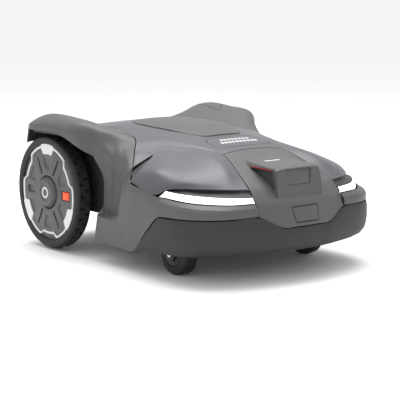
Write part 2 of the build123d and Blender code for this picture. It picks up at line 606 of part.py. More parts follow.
for side in SIDES:
    name = side_name(side)
    outward = (side, 0, 0)
    with BuildPart() as tyre:
        with BuildSketch(Plane(origin=on_axle(side, 0), x_dir=outward, z_dir=(0, -1, 0))):
            with BuildLine():
                Polyline(*TYRE_SECTION, close=True)
            make_face()
        revolve(axis=Axis(on_axle(side, 0), outward))
    write(tyre, f"rear_tyre_{name}")
    with BuildPart() as rim:
        add(tube(RIM_R, RIM_R - 5, on_axle(side, INNER_X + 2), FACE_X - INNER_X - 2, outward))
        add(cylinder(RIM_R, on_axle(side, FACE_X - 4), 4, outward))
        add(tube(40, 30, on_axle(side, FACE_X), 3, outward))
        add(cylinder(30, on_axle(side, FACE_X), BOSS, outward))
        add(cylinder(24, on_axle(side, 212), 46, outward))
        for turn in range(0, 360, 60):
            along = (0, cos(radians(turn)), sin(radians(turn)))
            with BuildSketch(Plane(origin=on_axle(side, FACE_X - 10), x_dir=along, z_dir=outward)):
                with Locations((74, 0)):
                    SlotOverall(40, 7 if turn % 180 else 20)
            extrude(amount=12, mode=Mode.SUBTRACT)
        add(cylinder(SHAFT_R, on_axle(side, 200), 80, outward), mode=Mode.SUBTRACT)
    write(rim, f"wheel_rim_{name}")
    with BuildPart() as trim:
        with BuildSketch(Plane(origin=on_axle(side, FACE_X), x_dir=(0, 1, 0), z_dir=outward)):
            Circle(RIM_R)
            Circle(RIM_R - 7, mode=Mode.SUBTRACT)
            with PolarLocations(RIM_R - 10, 3, 90):
                Rectangle(16, 44)
            Circle(RIM_R, mode=Mode.INTERSECT)
        extrude(amount=4)
    write(trim, f"trim_ring_{name}")
    with BuildPart() as cap:
        add(cylinder(22, on_axle(side, FACE_X + BOSS), 4, outward))
        chamfer(cap.edges().filter_by(GeomType.CIRCLE).sort_by(Axis.X)[-1 if side > 0 else 0], 1.2)
    write(cap, f"hub_cap_{name}")
    with BuildPart() as tab:
        across = sorted((side * (FACE_X - 4), side * (FACE_X + 1.5)))
        add(block(across, (AXLE_Y - 86, AXLE_Y - 62), (WHEEL_R - 9, WHEEL_R + 9)))
    write(tab, f"lock_tab_{name}")
    with BuildPart() as shaft:
        add(cylinder(SHAFT_R, on_axle(side, SHAFT_X), FACE_X + BOSS - SHAFT_X, outward))
    write(shaft, f"drive_shaft_{name}")

# ---- front casters ------------------------------------------------------------------------------
WHEEL_Y = CASTER_AXIS_Y + CASTER_TRAIL
AXLE_R = 4.0
HALF_W = CASTER_W / 2
FORK_IN = HALF_W + 1  # inner and outer faces of the fork's arms
FORK_OUT = HALF_W + 5
CASTER_HALF = [(HALF_W - 10, CASTER_R), (HALF_W - 4, CASTER_R - 2), (HALF_W, CASTER_R - 10), (HALF_W, AXLE_R + RUNNING)]
CASTER_SECTION = CASTER_HALF + [(-x, radius) for x, radius in reversed(CASTER_HALF)]
for side in SIDES:
    name = side_name(side)
    middle = side * CASTER_X
    with BuildPart() as wheel:
        with BuildSketch(Plane(origin=(middle, WHEEL_Y, CASTER_R), x_dir=(1, 0, 0), z_dir=(0, -1, 0))):
            with BuildLine():
                Polyline(*CASTER_SECTION, close=True)
            make_face()
        revolve(axis=Axis((middle, WHEEL_Y, CASTER_R), (1, 0, 0)))
    write(wheel, f"caster_wheel_{name}")
    with BuildPart() as fork:
        for arm in SIDES:
            x = sorted((middle + arm * FORK_IN, middle + arm * FORK_OUT))
            add(block(x, (WHEEL_Y - 13, WHEEL_Y + 13), (CASTER_R, 104)))
            add(cylinder(16, (x[0], WHEEL_Y, CASTER_R), x[1] - x[0], (1, 0, 0)))
        add(block((middle - FORK_OUT, middle + FORK_OUT), (WHEEL_Y - 29, WHEEL_Y + 13), (99, 110)))
        add(cylinder(STEM_R, (middle, CASTER_AXIS_Y, 105), 62, (0, 0, 1)))
        add(cylinder(14, (middle, CASTER_AXIS_Y, 161), 5, (0, 0, 1)))
        add(cylinder(AXLE_R, (middle - 40, WHEEL_Y, CASTER_R), 80, (1, 0, 0)), mode=Mode.SUBTRACT)
    write(fork, f"caster_fork_{name}")
    with BuildPart() as axle:
        add(cylinder(AXLE_R, (middle - FORK_OUT, WHEEL_Y, CASTER_R), 2 * FORK_OUT, (1, 0, 0)))
        for end in SIDES:
            add(cylinder(7, (middle + end * FORK_OUT, WHEEL_Y, CASTER_R), end * 2.5, (1, 0, 0)))
    write(axle, f"caster_axle_{name}")
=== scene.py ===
"""Robotic lawn mower: moulded body panels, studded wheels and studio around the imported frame.

Lengths in the tables are millimetres in the frame's own axes: +Z up, the mower faces -Y, its left is +X.
Panels are drawn for the left half and mirrored.
"""
import json
import math

import bmesh
import bpy
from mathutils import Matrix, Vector


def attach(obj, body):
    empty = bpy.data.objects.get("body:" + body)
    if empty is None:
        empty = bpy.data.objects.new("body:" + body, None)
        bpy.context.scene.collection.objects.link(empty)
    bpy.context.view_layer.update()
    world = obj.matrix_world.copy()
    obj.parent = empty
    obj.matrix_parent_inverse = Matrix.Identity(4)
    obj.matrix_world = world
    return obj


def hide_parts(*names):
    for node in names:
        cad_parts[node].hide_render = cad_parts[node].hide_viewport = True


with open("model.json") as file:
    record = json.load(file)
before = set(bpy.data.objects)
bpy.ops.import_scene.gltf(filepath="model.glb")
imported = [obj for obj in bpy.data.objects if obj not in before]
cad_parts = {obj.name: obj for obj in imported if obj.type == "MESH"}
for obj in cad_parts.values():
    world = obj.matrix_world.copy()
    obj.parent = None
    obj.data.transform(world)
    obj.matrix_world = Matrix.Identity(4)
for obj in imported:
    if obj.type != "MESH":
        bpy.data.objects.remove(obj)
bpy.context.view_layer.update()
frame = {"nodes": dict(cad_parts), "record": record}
MM = 0.001
SIDES = ((-1, "right"), (1, "left"))
WALL = 3.0  # thickness of a moulded panel
SEAM = 1.1  # each panel stops this far short of a joint line
STEPS = 6  # mesh rows between two drawn points
MIDDLE = (0, 0, 100)  # a place inside the body, which panels face away from

# ---- curves and patches -------------------------------------------------------------------------


def catmull(before, start, end, after, t):
    """Point on a centripetal Catmull-Rom segment."""
    lead = max((start - before).length, 0.001) ** 0.5
    span = max((end - start).length, 0.001) ** 0.5
    trail = max((after - end).length, 0.001) ** 0.5
    leave = end - start + span * ((start - before) / lead - (end - before) / (lead + span))
    arrive = end - start + span * ((after - end) / trail - (after - start) / (span + trail))
    cubic = 2 * (start - end) + leave + arrive
    square = -3 * (start - end) - 2 * leave - arrive
    return ((cubic * t + square) * t + leave) * t + start


def curve(points, steps=STEPS, corners=()):
    """Smooth curve through points, sharp at the corners; steps may be one number or one per segment."""
    counts = steps if isinstance(steps, (list, tuple)) else [steps] * (len(points) - 1)
    ends = [0] + list(corners) + [len(points) - 1]
    line = [points[0]]
    for first, last in zip(ends, ends[1:]):
        run = points[first:last + 1]
        run = [run[0] * 2 - run[1]] + run + [run[-1] * 2 - run[-2]]
        for index in range(last - first):
            count = counts[first + index]
            line += [catmull(*run[index:index + 4], step / count) for step in range(1, count + 1)]
    return line


def vectors(rows):
    """Rows of plain points as vectors."""
    return [[Vector(point) for point in row] for row in rows]


def loft(lines, steps=STEPS, corners=()):
    """Smooth surface through lines that have equally many points."""
    columns = [curve(list(column), steps, corners) for column in zip(*lines)]
    return [list(row) for row in zip(*columns)]


def patch(rows, corners=(), across_corners=()):
    """Smooth surface through a grid of drawn points."""
    return loft([curve(row, corners=across_corners) for row in vectors(rows)], corners=corners)


# ---- meshes -------------------------------------------------------------------------------------


def piece(name, bm):
    """Mesh object made from a bmesh and linked into the scene."""
    mesh = bpy.data.meshes.new(name)
    bm.to_mesh(mesh)
    bm.free()
    item = bpy.data.objects.new(name, mesh)
    bpy.context.scene.collection.objects.link(item)
    return item


def bake(item, sharp=32):
    """Apply an object's modifiers and shade it smooth up to an angle."""
    graph = bpy.context.evaluated_depsgraph_get()
    mesh = bpy.data.meshes.new_from_object(item.evaluated_get(graph))
    item.modifiers.clear()
    item.data = mesh
    for polygon in mesh.polygons:
        polygon.use_smooth = True
    mesh.set_sharp_from_angle(angle=math.radians(sharp))
    return item


def sheet(name, grids, mirror=True, seam=SEAM):
    """Open surface from patches, mirrored, merged and pulled back from its joint lines."""
    bm = bmesh.new()
    for grid in grids:
        for flip in (1, -1) if mirror else (1,):
            verts = [[bm.verts.new((p.x * flip * MM, p.y * MM, p.z * MM)) for p in row] for row in grid]
            for near, far in zip(verts, verts[1:]):
                for a, b, c, d in zip(near, near[1:], far[1:], far):
                    bm.faces.new((a, b, c, d) if flip > 0 else (d, c, b, a))
    bmesh.ops.remove_doubles(bm, verts=bm.verts, dist=0.06 * MM)
    bmesh.ops.dissolve_degenerate(bm, edges=bm.edges, dist=0.02 * MM)
    bmesh.ops.recalc_face_normals(bm, faces=bm.faces)
    middle = Vector(MIDDLE) * MM
    outward = sum(f.normal.dot(f.calc_center_median() - middle) * f.calc_area() for f in bm.faces)
    if outward < 0:
        bmesh.ops.reverse_faces(bm, faces=bm.faces)
    moves = {}
    for vert in bm.verts:
        if vert.is_boundary and seam:
            inside = [e.other_vert(vert).co for e in vert.link_edges if not e.is_boundary]
            if inside:
                pull = sum(inside, Vector()) / len(inside) - vert.co
                if pull.length > 0.2 * MM:
                    moves[vert] = pull.normalized() * min(seam * MM, pull.length * 0.8)
    for vert, move in moves.items():
        vert.co += move
    return piece(name, bm)


def thicken(item, wall=WALL, bevel=0.6):
    """Give a sheet its wall, inwards, with softened edges."""
    solid = item.modifiers.new("wall", "SOLIDIFY")
    solid.thickness = wall * MM
    solid.offset = -1
    solid.use_even_offset = False
    bake(item)
    if bevel:
        soften(item, bevel)
    return item


def soften(item, width=0.6, segments=2, angle=40):
    """Round the sharp edges of a mesh."""
    edge = item.modifiers.new("edge", "BEVEL")
    edge.width = width * MM
    edge.segments = segments
    edge.limit_method = "ANGLE"
    edge.angle_limit = math.radians(angle)
    edge.harden_normals = False
    return bake(item)


def prisms(name, outlines, low, high, axis="Z", side=1):
    """Closed blocks over outlines, between two heights along an axis."""
    bm = bmesh.new()
    for outline in outlines:
        ends = []
        for height in (low, high):
            if axis == "Z":
                places = [(a * side, b, height) for a, b in outline]
            elif axis == "X":
                places = [(height * side, a, b) for a, b in outline]
            else:
                places = [(a, height, b) for a, b in outline]
            ends.append([bm.verts.new(Vector(place) * MM) for place in places])
        base, top = ends
        bm.faces.new(base)
        bm.faces.new(list(reversed(top)))
        for i in range(len(base)):
            j = (i + 1) % len(base)
            bm.faces.new((base[j], base[i], top[i], top[j]))
    bmesh.ops.recalc_face_normals(bm, faces=bm.faces)
    return piece(name, bm)


def prism(name, outline, low, high, axis="Z", side=1):
    """Closed block over one outline."""
    return prisms(name, [outline], low, high, axis, side)


def grown(outline, amount):
    """Closed plan outline moved outwards by an amount."""
    area = sum(a[0] * b[1] - b[0] * a[1] for a, b in zip(outline, outline[1:] + outline[:1]))
    turn = 1 if area > 0 else -1
    moved = []
    for before, point, after in zip(outline[-1:] + outline[:-1], outline, outline[1:] + outline[:1]):
        first = Vector((point[1] - before[1], before[0] - point[0])).normalized() * turn
        second = Vector((after[1] - point[1], point[0] - after[0])).normalized() * turn
        corner = first + second
        corner *= amount * 2 / max(corner.length_squared, 0.5)
        moved.append((point[0] + corner.x, point[1] + corner.y))
    return moved


DECK_CUT = (200, 330)  # heights between which a cutter passes through the deck


def through(outline, grow=0.0, low=DECK_CUT[0]):
    """Upright cutter over a plan outline, tall enough to pass through the deck."""
    return prism("cutter", grown(outline, grow), low, DECK_CUT[1])


def combine(item, other, operation="DIFFERENCE"):
    """Boolean of two closed meshes; the second is used up."""
    step = item.modifiers.new("cut", "BOOLEAN")
    step.operation = operation
    step.solver = "EXACT"
    step.object = other
    bake(item)
    bpy.data.objects.remove(other)
    return item


def circle(y, z, radius, count):
    """Closed outline of a round hole."""
    angles = [index * math.pi / (count / 2) for index in range(count)]
    return [(y + radius * math.cos(angle), z + radius * math.sin(angle)) for angle in angles]


def whole(half):
    """Closed outline from its left half, drawn from the centre line round to it."""
    return half + [(-x, y) for x, y in reversed(half) if x > 0.01]


def rounded(outline, radius, steps=4):
    """Closed outline with its corners rounded."""
    result = []
    for before, point, after in zip(outline[-1:] + outline[:-1], outline, outline[1:] + outline[:1]):
        corner = Vector(point)
        back, ahead = Vector(before) - corner, Vector(after) - corner
        reach = min(radius, back.length * 0.45, ahead.length * 0.45)
        start, end = corner + back.normalized() * reach, corner + ahead.normalized() * reach
        for step in range(steps + 1):
            t = step / steps
            spot = start * (1 - t) ** 2 + corner * 2 * t * (1 - t) + end * t ** 2
            result.append((spot.x, spot.y))
    return result


def turned(name, profile, origin, side, count):
    """Body turned about the X axis; the profile is a closed loop of (distance along, radius)."""
    bm = bmesh.new()
    rings = []
    for index in range(count):
        angle = 2 * math.pi * index / count
        ring = []
        for along, radius in profile:
            place = Vector((along * side, radius * math.sin(angle), radius * math.cos(angle)))
            ring.append(bm.verts.new((place + Vector(origin)) * MM))
        rings.append(ring)
    for near, far in zip(rings, rings[1:] + rings[:1]):
        for i in range(len(profile)):
            j = (i + 1) % len(profile)
            bm.faces.new((near[i], near[j], far[j], far[i]))
    bmesh.ops.remove_doubles(bm, verts=bm.verts, dist=0.001 * MM)
    bmesh.ops.dissolve_degenerate(bm, edges=bm.edges, dist=0.001 * MM)
    bmesh.ops.recalc_face_normals(bm, faces=bm.faces)
    return piece(name, bm)


# ---- materials ----------------------------------------------------------------------------------


def material(name, colour, rough=0.5, spread=0.06, rough_spread=0.08, grain=900, bump=0.15, relief=0.05,
             patch_scale=9, **sockets):
    """Moulded or machined surface: uneven colour and gloss, with a fine grain in relief."""
    made = bpy.data.materials.new(name)
    made.use_nodes = True
    nodes, links = made.node_tree.nodes, made.node_tree.links
    shader = nodes["Principled BSDF"]
    place = nodes.new("ShaderNodeTexCoord")
    wide = nodes.new("ShaderNodeTexNoise")
    wide.inputs["Scale"].default_value = patch_scale
    wide.inputs["Detail"].default_value = 5
    fine = nodes.new("ShaderNodeTexNoise")
    fine.inputs["Scale"].default_value = grain
    fine.inputs["Detail"].default_value = 3
    tint = nodes.new("ShaderNodeValToRGB")
    tint.color_ramp.elements[0].position = 0.3
    tint.color_ramp.elements[1].position = 0.7
    tint.color_ramp.elements[0].color = [c * (1 - spread) for c in colour] + [1]
    tint.color_ramp.elements[1].color = [min(1, c * (1 + spread)) for c in colour] + [1]
    gloss = nodes.new("ShaderNodeMapRange")
    gloss.inputs["To Min"].default_value = max(0.02, rough - rough_spread)
    gloss.inputs["To Max"].default_value = min(1, rough + rough_spread)
    raised = nodes.new("ShaderNodeBump")
    raised.inputs["Strength"].default_value = bump
    raised.inputs["Distance"].default_value = relief * MM
    for texture in (wide, fine):
        links.new(place.outputs["Object"], texture.inputs["Vector"])
    links.new(wide.outputs["Fac"], tint.inputs["Fac"])
    links.new(tint.outputs["Color"], shader.inputs["Base Color"])
    links.new(fine.outputs["Fac"], gloss.inputs["Value"])
    links.new(gloss.outputs["Result"], shader.inputs["Roughness"])
    links.new(fine.outputs["Fac"], raised.inputs["Height"])
    links.new(raised.outputs["Normal"], shader.inputs["Normal"])
    for socket, value in sockets.items():
        shader.inputs[socket.replace("_", " ")].default_value = value
    return made


LOOKS = {
    "dark_plastic": material("moulded_black", (0.009, 0.0091, 0.0095), 0.5, bump=0.3),
    "grey_plastic": material("moulded_grey", (0.068, 0.0685, 0.0685), 0.5, spread=0.03, bump=0.3),
    "gloss_plastic": material("satin_blue_grey", (0.062, 0.066, 0.074), 0.36, spread=0.02, rough_spread=0.03,
                              bump=0.06),
    "bumper_plastic": material("bumper_charcoal", (0.015, 0.015, 0.0152), 0.6, spread=0.05, bump=0.4),
    "tyre_rubber": material("tyre_rubber", (0.008, 0.008, 0.0082), 0.62, spread=0.15, grain=600, bump=0.5),
    "wheel_plastic": material("wheel_grey", (0.07, 0.071, 0.072), 0.46, spread=0.04, bump=0.3),
    "silver_trim": material("silver_lacquer", (0.62, 0.625, 0.63), 0.34, spread=0.03, Metallic=0.25,
                            bump=0.1),
    "orange_plastic": material("orange_moulding", (0.90, 0.085, 0.012), 0.4, spread=0.04),
    "steel": material("turned_steel", (0.55, 0.55, 0.56), 0.3, Metallic=1.0, grain=1400),
    "blade_steel": material("ground_steel", (0.48, 0.48, 0.49), 0.24, Metallic=1.0, grain=1800),
    "motor_metal": material("motor_can", (0.21, 0.21, 0.22), 0.42, Metallic=0.8),
    "battery_wrap": material("battery_wrap", (0.02, 0.07, 0.22), 0.35, bump=0.1),
    "circuit_board": material("solder_mask", (0.01, 0.12, 0.04), 0.35, spread=0.25, patch_scale=220),
    "contact_metal": material("plated_contact", (0.75, 0.68, 0.5), 0.25, Metallic=1.0),
    "lamp_lens": material("lamp_diffuser", (0.93, 0.94, 0.95), 0.3, spread=0.02,
                          Emission_Color=(0.93, 0.97, 1, 1), Emission_Strength=1.1),
    "soft_rubber": material("soft_rubber", (0.02, 0.02, 0.02), 0.8, bump=0.5),
    "stop_red": material("stop_red", (0.32, 0.014, 0.012), 0.42),
    "key_rubber": material("silicone_key", (0.22, 0.22, 0.22), 0.7, bump=0.4),
    "display_glass": material("smoked_window", (0.008, 0.009, 0.011), 0.1, rough_spread=0.02, bump=0.02,
                              Coat_Weight=0.6, Coat_Roughness=0.04),
}


def finish(item, body, slot, *nodes):
    """Place a piece on its body, with its material, in place of CAD nodes."""
    item.data.materials.clear()
    item.data.materials.append(LOOKS[slot])
    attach(item, body)
    if nodes:
        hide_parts(*nodes)
    return item


for row in frame["record"]["subparts"]:
    node = frame["nodes"][row["node"]]
    if not node.data.materials:
        node.data.materials.append(None)
    for index in range(len(node.material_slots)):
        node.material_slots[index].material = LOOKS[row["material_slot"]]

# ---- body panels --------------------------------------------------------------------------------
NOSE_CORNER = (84, -192, 257)
RIDGE = [NOSE_CORNER, (108, -182, 261), (122, -150, 263), (140, -112, 261), (164, -80, 258), (183, -73, 252)]
DECK = [
    [(0, -186, 262), (30, -187.5, 261.3), (60, -190.5, 259.5), NOSE_CORNER],
    [(0, -152, 272), (35, -152.5, 271.5), (70, -152, 270.5), (104, -150, 268)],
    [(0, -88, 284), (39, -87, 283.3), (78, -86, 281), (114, -85, 276)],
    [(0, -40, 291), (40, -41, 290), (80, -43, 286.8), (118, -45, 280.5)],
    [(0, 0, 297), (41, -1, 296), (82, -1, 291.5), (121, 0, 284.3)],
    [(0, 50, 302), (42, 49, 300.5), (84, 48, 295), (121, 50, 286)],
    [(0, 134, 303), (44, 134, 301.5), (88, 132, 296), (126, 128, 288.5)],
    [(0, 178, 299.5), (47, 178, 298.5), (95, 178, 294.5), (139, 178, 287)],
    [(0, 225, 293), (46, 225, 292.5), (92, 224, 290), (137, 223, 285.5)],
    [(0, 272, 286), (45, 271, 286), (90, 269, 285), (134, 266, 283)],
]
SHOULDER = [
    RIDGE + [(236, -68, 227)],
    [(104, -150, 268), (116, -130, 267), (131, -104, 265.5), (150, -80, 263), (170, -64, 258),
     (188, -55, 252.5), (214, -42, 245)],
    [(114, -85, 276), (124, -76, 274), (136, -65, 271), (150, -53, 267.5), (166, -42, 263.5),
     (181, -31, 259.5), (197, -20, 255)],
    [(118, -45, 280.5), (127, -38, 279), (137, -30, 277), (147, -22, 275), (157, -13, 273), (166, -5, 271),
     (176, 4, 269)],
    [(121, 0, 284.3), (128, 4, 283), (135, 8, 281.2), (142, 12.5, 279.6), (149, 17, 278.3),
     (156, 21.5, 277.2), (163, 26, 276)],
    [(121, 50, 286), (126, 50.5, 285), (131, 51, 284), (136, 51.5, 283), (142, 52.5, 281.8),
     (147.5, 53, 280.4), (153, 54, 279)],
    [(126, 128, 288.5), (129, 128.5, 287.8), (132, 129, 287), (135, 129.5, 286), (138, 130, 285),
     (141.5, 130.5, 284), (145, 131, 283)],
    [(139 + 0.1 * i, 178, 287) for i in range(7)],
]
BLISTER = [
    RIDGE,
    [(91, -222, 247), (126, -219, 251.5), (151, -185, 249), (181, -145, 243.5), (198, -120, 241.5),
     (215, -87, 235.5)],
    [(101, -260, 230), (142, -265, 233), (181, -238, 230), (216, -192, 224.5), (234, -146, 225),
     (239, -93, 221)],
    [(110, -295, 213), (158, -292, 214), (199, -264, 214), (233, -214, 208), (249, -165, 202),
     (252, -90, 208)],
    [(117, -322, 198), (165, -308, 200), (210, -270, 201), (240, -203, 195), (256, -178, 182),
     (257, -86, 200)],
]
LID = rounded(whole([(0, -90), (45, -88.5), (55, -82), (72, -50), (86, 0), (92, 60), (90, 120), (82, 152),
                     (64, 174), (0, 180)]), 10)
BAR_ROWS = [(-149, -139, 10), (-132, -123, 8)]  # front edge, rear edge, how many
BAR_PITCH = 10.5
BAR_HALF = 3.6
BADGE = rounded(whole([(0, -168), (68, -167), (77, -159), (78, -134), (70, -113), (60, -107), (0, -105)]), 6)
STOP = rounded(whole([(0, 204), (52, 204), (60, 212), (60, 240), (52, 248), (0, 248)]), 4)


def deck_sheet(name, drop=0.0, wall=WALL):
    """Solid piece of the deck's surface, lowered by a drop."""
    rows = [[(x, y, z - drop) for x, y, z in row] for row in DECK]
    return thicken(sheet(name, [patch(rows)], seam=0), wall, bevel=0)


def build_hood():
    """Deck, shoulders and the bulges over the headlights, in one moulding."""
    deck, shoulder = patch(DECK), patch(SHOULDER, across_corners=(5,))
    hood = thicken(sheet("hood_panel", [deck, shoulder, patch(BLISTER)]), bevel=0)
    for outline, grow in ((LID, 1.1), (BADGE, 1.0), (STOP, 1.2)):
        combine(hood, through(outline, grow))
    soften(hood)
    return finish(hood, "shell", "gloss_plastic", "hood")


def build_badge():
    """Cover plate ahead of the lid, with two rows of plain raised bars."""
    plate = combine(deck_sheet("badge_cover"), through(BADGE, -0.4), "INTERSECT")
    soften(plate)
    finish(plate, "shell", "gloss_plastic", "badge_plate")
    bars = []
    for near, far, count in BAR_ROWS:
        for index in range(count):
            x = (index - (count - 1) / 2) * BAR_PITCH
            left, right = x - BAR_HALF, x + BAR_HALF
            bars.append([(left, near), (right, near), (right, far), (left, far)])
    raised = combine(deck_sheet("badge_bars", -0.7, 1.4), prisms("cutter", bars, *DECK_CUT), "INTERSECT")
    finish(raised, "shell", "silver_trim")


HINGE_ZONE = [(-90, -110), (90, -110), (90, -70), (-90, -70)]
LID_ROWS = [
    [(0, -92, 285.2), (27, -92, 284.7), (56, -92, 283)],
    [(0, -50, 291.2), (34, -51, 290.6), (74, -52, 286.6)],
    [(0, 0, 299.6), (42, -1, 298.8), (88, -2, 292.4)],
    [(0, 50, 304.2), (46, 50, 303), (94, 50, 294.6)],
    [(0, 105, 305), (47, 105, 303.8), (94, 105, 296.2)],
    [(0, 140, 304.4), (45, 139, 303.2), (90, 137, 296.6)],
    [(0, 184, 299.4), (36, 182, 299), (72, 178, 297.2)],
]


def build_lid():
    """Hinged lid over the controls, with its seal on the rim of the opening."""
    surface = sheet("control_lid_panel", [patch(LID_ROWS)], seam=0)
    lid = combine(thicken(surface, bevel=0), through(LID), "INTERSECT")
    soften(lid)
    finish(lid, "lid", "grey_plastic", "control_lid")
    seal = combine(deck_sheet("lid_seal", 4.2, 4.0), through(LID, 5), "INTERSECT")
    combine(seal, through(LID, -9))
    combine(seal, through(HINGE_ZONE))
    finish(seal, "shell", "soft_rubber")


def build_stop():
    """Stop button, flush with the deck behind the lid."""
    button = combine(deck_sheet("stop_key", 0.4, 8.0), through(STOP, -1.0), "INTERSECT")
    soften(button, 1.0)
    finish(button, "stop", "stop_red", "stop_button")


FLANK_TOP = [
    [(236, -68, 227), (242, -68, 223), (248, -66, 217), (253, -63, 207), (256, -59, 190), (257, -54, 170)],
    [(214, -42, 245), (222, -40, 242.5), (231, -43, 236), (238, -44, 222), (241.5, -42, 197),
     (241, -40, 170)],
    [(197, -20, 255), (206, -14, 252.5), (219, -16, 245), (230, -21, 228), (232, -20, 202),
     (229, -18, 175)],
    [(176, 4, 269), (186, 13, 266.5), (201, 16, 260), (219, 11, 246), (227, 7, 224), (224, 12, 195)],
    [(163, 26, 276), (180, 31, 278), (196, 37, 275), (213, 42, 262), (227, 34, 242), (222, 40, 215)],
    [(153, 54, 279), (178, 58, 287), (204, 64, 291), (226, 73, 287), (239, 88, 272), (238, 84, 236)],
]
FLANK_LOW = [
    [(257, -54, 170), (257.2, -47, 145), (257, -42, 120), (256.5, -39, 104), (254, -45, 45)],
    [(241, -40, 170), (239, -26, 143), (238, -13, 117), (254, -5, 104), (253, 0, 45)],
    [(229, -18, 175), (226.5, 0, 142), (227, 15, 111), (252, 20, 105), (252, 20, 44.5)],
    [(224, 12, 195), (221, 27, 152), (222, 41, 110), (250, 45, 105), (251, 47, 44)],
    [(222, 40, 215), (218, 47, 163), (222, 52, 111), (247, 54, 105.5), (250.5, 57, 44)],
    [(238, 84, 236), (227, 60, 190), (228, 58, 125), (243, 62, 106), (250, 65, 44)],
]
FENDER = [
    FLANK_TOP[-1],
    [(145, 131, 283), (185, 127, 299), (225, 122, 310.5), (248, 118, 307), (264, 118, 290),
     (256, 110, 250)],
    [(139, 178, 287), (184, 179, 302), (226, 178, 315), (250, 174, 310), (269, 168, 293), (271, 168, 276)],
    [(137, 223, 285.5), (185, 225, 304), (232, 224, 318), (255, 221, 311), (272.8, 215, 296),
     (273.8, 215, 280)],
    [(134, 266, 283), (185, 264, 302), (234, 262, 317.5), (254, 262, 310), (272.8, 262, 295),
     (273.8, 262, 279)],
    [(126, 300, 279), (180, 300, 293), (230, 302, 309), (252, 302, 304), (271, 300, 292), (273, 299, 279)],
    [(115, 330, 271), (180, 332, 280), (230, 330, 294), (248, 328, 294), (262, 322, 289), (264, 321, 279)],
]
FENDER_REAR = [
    FENDER[-1][1:],
    [(205, 340, 246), (231, 339, 246), (249, 337, 245.5), (262, 333, 245), (265, 330, 245)],
]
REAR_DECK = [
    DECK[-1],
    [(0, 305, 278), (42, 304.5, 278.3), (85, 303, 278.8), (126, 300, 279)],
    [(0, 338, 266), (38, 337, 266.5), (76, 334, 268), (115, 330, 271)],
]
REAR_WALL = [
    REAR_DECK[-1] + [(180, 332, 280)],
    [(0, 364, 240), (45, 363, 241), (92, 359, 243), (140, 352, 246), (205, 340, 246)],
    [(0, 376, 180), (50, 375, 180), (100, 372, 180), (150, 364, 181), (205, 343, 182)],
    [(0, 380, 98), (50, 379, 98), (100, 376, 98), (150, 370, 98), (205, 346, 98)],
]
SKIRT = [
    [(121, -345, 171.5), (121.5, -354, 163), (122, -356, 158), (122, -357, 153), (122, -357, 149),
     (122, -356, 146)],
    [(180, -331, 172), (185, -341, 164), (186, -343, 158), (186, -343.5, 153), (186, -343.5, 149),
     (186, -343, 145)],
    [(218, -298, 173), (229, -309, 165), (232, -312, 158), (232, -312.5, 153), (232, -312.5, 148),
     (232, -312, 144)],
    [(241, -262, 175), (252, -268, 167), (255.5, -270, 160), (256, -270.5, 154), (256, -270.5, 148),
     (256, -270, 143)],
    [(249, -205, 178), (259, -207, 170), (262.5, -210, 162), (263, -212, 155), (263, -214, 148),
     (263, -215, 141)],
    [(256, -182, 181), (260, -184, 172), (263.5, -188, 163), (264.5, -192, 155), (265, -195, 146),
     (265, -198, 138)],
    [(257, -135, 190), (261, -136, 180), (262, -137, 160), (262.5, -141, 135), (262.5, -145, 113),
     (262.5, -148, 96)],
    [(257, -86, 200), (260, -82, 184), (260.5, -80, 155), (260, -80, 120), (259, -86, 80), (255, -93, 47)],
]
FENDER_CUT = 285  # cutters for the fender lids start above the arches
FENDER_LID = [(196, 176), (226, 196), (241, 313), (222, 318), (206, 230)]


def skirt_front():
    """Surface of the skirt from the nose round to the fold at the rear of its flank."""
    top, low = vectors([FLANK_TOP[0], FLANK_LOW[0]])
    fold = curve(top) + curve(low, corners=(2, 3))[1:]
    counts = [STEPS] + 4 * [2 * STEPS]
    return loft([curve(row, counts, corners=(1,)) for row in vectors(SKIRT)] + [fold])


def build_skirt():
    """Lower front band, flanks, fenders and rear of the body in one moulding."""
    low_rows = [curve(row, corners=(2, 3)) for row in vectors(FLANK_LOW)]
    grids = [skirt_front(), patch(FLANK_TOP), loft(low_rows), patch(FENDER), patch(FENDER_REAR),
             patch(REAR_DECK), patch(REAR_WALL, corners=(1,))]
    skirt = thicken(sheet("body_skirt_panel", grids), bevel=0)
    for side, _ in SIDES:
        outline = rounded([(side * x, y) for x, y in FENDER_LID], 5)
        combine(skirt, through(outline, 1.0, FENDER_CUT))
    soften(skirt)
    finish(skirt, "shell", "grey_plastic", "body_skirt")


def build_fender_lids():
    """Flush cover plates on top of the fenders."""
    for side, name in SIDES:
        rows = [[(x * side, y, z) for x, y, z in row] for row in FENDER]
        plate = thicken(sheet(f"fender_lid_{name}", [patch(rows)], mirror=False, seam=0), 2.5, bevel=0)
        outline = rounded([(side * x, y) for x, y in FENDER_LID], 5)
        combine(plate, through(outline, -0.3, FENDER_CUT), "INTERSECT")
        soften(plate, 0.5)
        finish(plate, "shell", "grey_plastic", *(["fender_lids"] if side < 0 else []))


AXLE_Y = 244.0
WHEEL_Z = 135.0
AXLE_HOLE_R = 26.0
ARCH_FACES = (202, 205.5)  # where the wall inside the arch starts and ends, along X
ARCH_CUT = (190, 220)
ARCH_WALL = [
    (72, 98), (72, 190), (84, 230), (104, 276), (142, 286), (180, 292), (225, 295), (262, 292), (300, 285),
    (322, 272), (338, 240), (344, 98),
]


def build_arches():
    """Wall inside each wheel arch, with the opening for the axle."""
    for side, name in SIDES:
        wall = prism(f"arch_wall_{name}", ARCH_WALL, *ARCH_FACES, "X", side)
        combine(wall, prism("cutter", circle(AXLE_Y, WHEEL_Z, AXLE_HOLE_R, 48), *ARCH_CUT, "X", side))
        soften(wall, 0.5)
        finish(wall, "shell", "dark_plastic")


